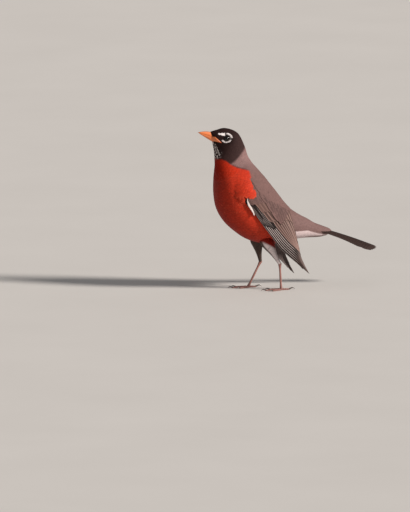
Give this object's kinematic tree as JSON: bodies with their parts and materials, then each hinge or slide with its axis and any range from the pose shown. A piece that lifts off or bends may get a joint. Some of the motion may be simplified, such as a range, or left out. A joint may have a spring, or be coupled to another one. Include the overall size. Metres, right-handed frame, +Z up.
{
  "type": "american robin",
  "caption": "Life-size still model of an American robin standing alert on both feet, head raised, wings drooped and closed tail held low.",
  "frame": {"origin": "on the floor, under the middle of the bird's box", "axes": "+Z up, the bird faces -X with its tail towards +X, its left side is -Y"},
  "size_m": [0.2276, 0.0649, 0.1968],
  "materials": {
    "head_feathers": "soft black plumage with a faint brown cast",
    "breast_feathers": "brick red plumage with fine pale feather tips",
    "back_feathers": "smooth grey-brown plumage",
    "wing_feathers": "brown-grey vanes with paler edges",
    "flight_feathers": "dark vanes with a thin pale outer edge",
    "thigh_feathers": "white plumage with grey bases",
    "bill": "orange-yellow horn with a dusky tip",
    "eye": "wet, very dark brown",
    "leg_skin": "pinkish brown scutes",
    "claw": "dark horn"
  },
  "bodies": {
    "root": {"belly": "breast_feathers", "bill_lower": "bill", "bill_upper": "bill", "breast": "breast_feathers", "eye_left": "eye", "eye_right": "eye", "head": "head_feathers", "hind_claw_left": "claw", "hind_claw_right": "claw", "hind_toe_left": "leg_skin", "hind_toe_right": "leg_skin", "inner_claw_left": "claw", "inner_claw_right": "claw", "inner_toe_left": "leg_skin", "inner_toe_right": "leg_skin", "middle_claw_left": "claw", "middle_claw_right": "claw", "middle_toe_left": "leg_skin", "middle_toe_right": "leg_skin", "neck": "back_feathers", "outer_claw_left": "claw", "outer_claw_right": "claw", "outer_toe_left": "leg_skin", "outer_toe_right": "leg_skin", "rump": "back_feathers", "tail_centre": "flight_feathers", "tail_left": "flight_feathers", "tail_right": "flight_feathers", "tarsus_left": "leg_skin", "tarsus_right": "leg_skin", "thigh_left": "thigh_feathers", "thigh_right": "thigh_feathers", "wing_left_greater_coverts": "wing_feathers", "wing_left_primaries": "flight_feathers", "wing_left_scapulars": "back_feathers", "wing_left_secondaries": "wing_feathers", "wing_right_greater_coverts": "wing_feathers", "wing_right_primaries": "flight_feathers", "wing_right_scapulars": "back_feathers", "wing_right_secondaries": "wing_feathers"}
  },
  "joints": []
}
